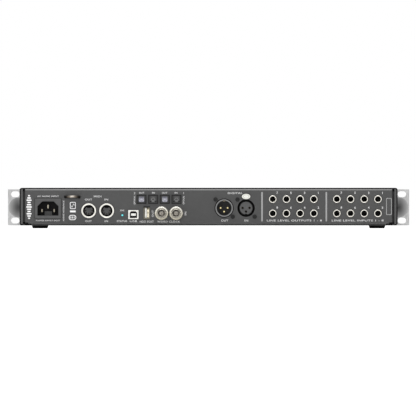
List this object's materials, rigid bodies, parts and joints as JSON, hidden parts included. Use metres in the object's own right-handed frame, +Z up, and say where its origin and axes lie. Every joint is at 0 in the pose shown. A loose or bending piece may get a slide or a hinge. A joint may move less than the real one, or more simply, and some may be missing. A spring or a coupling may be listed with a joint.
{
  "type": "rack-mount audio interface",
  "caption": "One-unit 19-inch rack audio interface: mains inlet, DIN, USB, BNC, optical, XLR and jack sockets at the rear; microphone inputs, knobs and a power rocker at the front.",
  "frame": {"origin": "on the surface the feet stand on, under the middle of the whole unit", "axes": "+X to the right seen from the front, +Y from the front panel to the connectors, +Z up"},
  "size_m": [0.4826, 0.257, 0.0468],
  "materials": {
    "case_black": "fine black powder coat",
    "tray_black": "satin dark grey coat",
    "rear_grey": "matte grey coat with printed legends",
    "rail_grey": "satin grey",
    "front_blue_grey": "satin blue grey",
    "ear_silver": "satin silver lacquer",
    "foot_rubber": "matte",
    "screw_black": "black zinc",
    "spacer_brass": "bright",
    "inlet_plastic": "fine moulded grain",
    "contact_metal": "nickel plated",
    "loop_steel": "nickel plated",
    "din_nickel": "satin nickel",
    "socket_plastic": "matte",
    "usb_steel": "tinned",
    "tongue_plastic": "white",
    "bnc_nickel": "nickel plated",
    "bnc_insulator": "natural",
    "optical_plastic": "matte black",
    "shutter_lit": "translucent, lit from behind",
    "shutter_dark": "matte dark grey",
    "xlr_grey": "satin grey",
    "xlr_black": "black",
    "pin_gold": "gold plated",
    "latch_silver": "satin",
    "jack_nickel": "nickel plated",
    "jack_plastic": "black",
    "button_cyan": "clear, lit",
    "knob_metal": "turned",
    "pot_metal": "zinc",
    "switch_plastic": "black",
    "led_clear": "diffused",
    "board_green": "solder mask",
    "board_brown": "laminate",
    "chip_black": "moulded",
    "transformer_tape": "taped",
    "capacitor_sleeve": "shrink sleeve",
    "sink_aluminium": "extruded",
    "ribbon_grey": "flexible"
  },
  "bodies": {
    "chassis": {"base_tray": "tray_black", "rear_panel": "rear_grey", "top_cover": "case_black", "side_rail_left": "rail_grey", "side_rail_right": "rail_grey", "front_panel": "front_blue_grey", "rack_ear_left": "ear_silver", "rack_ear_right": "ear_silver", "feet": "foot_rubber", "foot_screws": "screw_black", "case_screws": "screw_black", "ear_screws": "screw_black", "board_standoffs": "spacer_brass", "mains_inlet": "inlet_plastic", "mains_blades": "contact_metal", "cable_loop": "loop_steel", "midi_rings": "din_nickel", "midi_inserts": "socket_plastic", "usb_b_shell": "usb_steel", "usb_a_shell": "usb_steel", "usb_tongues": "tongue_plastic", "bnc_out_socket": "bnc_nickel", "bnc_in_socket": "bnc_nickel", "bnc_insulators": "bnc_insulator", "optical_housings": "optical_plastic", "xlr_male_shell": "xlr_grey", "xlr_male_pins": "pin_gold", "xlr_female_shell": "xlr_black", "xlr_inserts": "socket_plastic", "xlr_screws": "screw_black", "jack_bodies": "jack_plastic", "jack_noses": "jack_nickel", "combo_shells": "xlr_black", "combo_inserts": "socket_plastic", "gain_pots": "pot_metal", "power_switch": "switch_plastic", "status_leds": "led_clear", "main_board": "board_green", "board_parts": "chip_black", "psu_board": "board_brown", "psu_transformer": "transformer_tape", "psu_capacitors": "capacitor_sleeve", "psu_heatsink": "sink_aluminium", "front_board": "board_green", "ribbon_cable": "ribbon_grey"},
    "optical_shutter_1": {"optical_shutter_1": "shutter_lit"},
    "optical_shutter_2": {"optical_shutter_2": "shutter_dark"},
    "optical_shutter_3": {"optical_shutter_3": "shutter_lit"},
    "optical_shutter_4": {"optical_shutter_4": "shutter_dark"},
    "xlr_latch": {"xlr_latch": "latch_silver"},
    "mode_button": {"mode_button": "button_cyan"},
    "combo_latch_1": {"combo_latch_1": "latch_silver"},
    "combo_latch_2": {"combo_latch_2": "latch_silver"},
    "combo_latch_3": {"combo_latch_3": "latch_silver"},
    "combo_latch_4": {"combo_latch_4": "latch_silver"},
    "gain_knob_1": {"gain_knob_1": "knob_metal"},
    "gain_knob_2": {"gain_knob_2": "knob_metal"},
    "gain_knob_3": {"gain_knob_3": "knob_metal"},
    "gain_knob_4": {"gain_knob_4": "knob_metal"},
    "power_rocker": {"power_rocker": "switch_plastic"}
  },
  "joints": [
    {"name": "optical_shutter_1_hinge", "type": "hinge", "parent": "chassis", "child": "optical_shutter_1", "pos_m": [0.0774, 0.1148, 0.0369], "axis": [-1, 0, 0], "range_deg": [0, 80], "stiffness_Nm_per_rad": 0.001, "springref_deg": -17.19},
    {"name": "optical_shutter_2_hinge", "type": "hinge", "parent": "chassis", "child": "optical_shutter_2", "pos_m": [0.06395, 0.1148, 0.0369], "axis": [-1, 0, 0], "range_deg": [0, 80], "stiffness_Nm_per_rad": 0.001, "springref_deg": -17.19},
    {"name": "optical_shutter_3_hinge", "type": "hinge", "parent": "chassis", "child": "optical_shutter_3", "pos_m": [0.0505, 0.1148, 0.0369], "axis": [-1, 0, 0], "range_deg": [0, 80], "stiffness_Nm_per_rad": 0.001, "springref_deg": -17.19},
    {"name": "optical_shutter_4_hinge", "type": "hinge", "parent": "chassis", "child": "optical_shutter_4", "pos_m": [0.03705, 0.1148, 0.0369], "axis": [-1, 0, 0], "range_deg": [0, 80], "stiffness_Nm_per_rad": 0.001, "springref_deg": -17.19},
    {"name": "xlr_latch_press", "type": "slide", "parent": "chassis", "child": "xlr_latch", "axis": [0, -1, 0], "range_m": [0, 0.0015], "stiffness_N_per_m": 800, "springref_m": -0.001},
    {"name": "mode_button_press", "type": "slide", "parent": "chassis", "child": "mode_button", "axis": [0, -1, 0], "range_m": [0, 0.0006], "stiffness_N_per_m": 1500, "springref_m": -0.0005},
    {"name": "combo_latch_1_press", "type": "slide", "parent": "chassis", "child": "combo_latch_1", "axis": [0, 1, 0], "range_m": [0, 0.0015], "stiffness_N_per_m": 800, "springref_m": -0.001},
    {"name": "combo_latch_2_press", "type": "slide", "parent": "chassis", "child": "combo_latch_2", "axis": [0, 1, 0], "range_m": [0, 0.0015], "stiffness_N_per_m": 800, "springref_m": -0.001},
    {"name": "combo_latch_3_press", "type": "slide", "parent": "chassis", "child": "combo_latch_3", "axis": [0, 1, 0], "range_m": [0, 0.0015], "stiffness_N_per_m": 800, "springref_m": -0.001},
    {"name": "combo_latch_4_press", "type": "slide", "parent": "chassis", "child": "combo_latch_4", "axis": [0, 1, 0], "range_m": [0, 0.0015], "stiffness_N_per_m": 800, "springref_m": -0.001},
    {"name": "gain_knob_1_turn", "type": "hinge", "parent": "chassis", "child": "gain_knob_1", "pos_m": [-0.054, -0.1165, 0.025], "axis": [0, 1, 0], "range_deg": [-150, 150]},
    {"name": "gain_knob_2_turn", "type": "hinge", "parent": "chassis", "child": "gain_knob_2", "pos_m": [-0.032, -0.1165, 0.025], "axis": [0, 1, 0], "range_deg": [-150, 150]},
    {"name": "gain_knob_3_turn", "type": "hinge", "parent": "chassis", "child": "gain_knob_3", "pos_m": [-0.01, -0.1165, 0.025], "axis": [0, 1, 0], "range_deg": [-150, 150]},
    {"name": "gain_knob_4_turn", "type": "hinge", "parent": "chassis", "child": "gain_knob_4", "pos_m": [0.012, -0.1165, 0.025], "axis": [0, 1, 0], "range_deg": [-150, 150]},
    {"name": "power_rocker_tilt", "type": "hinge", "parent": "chassis", "child": "power_rocker", "pos_m": [0.184, -0.113, 0.025], "axis": [1, 0, 0], "range_deg": [0, 18]}
  ]
}
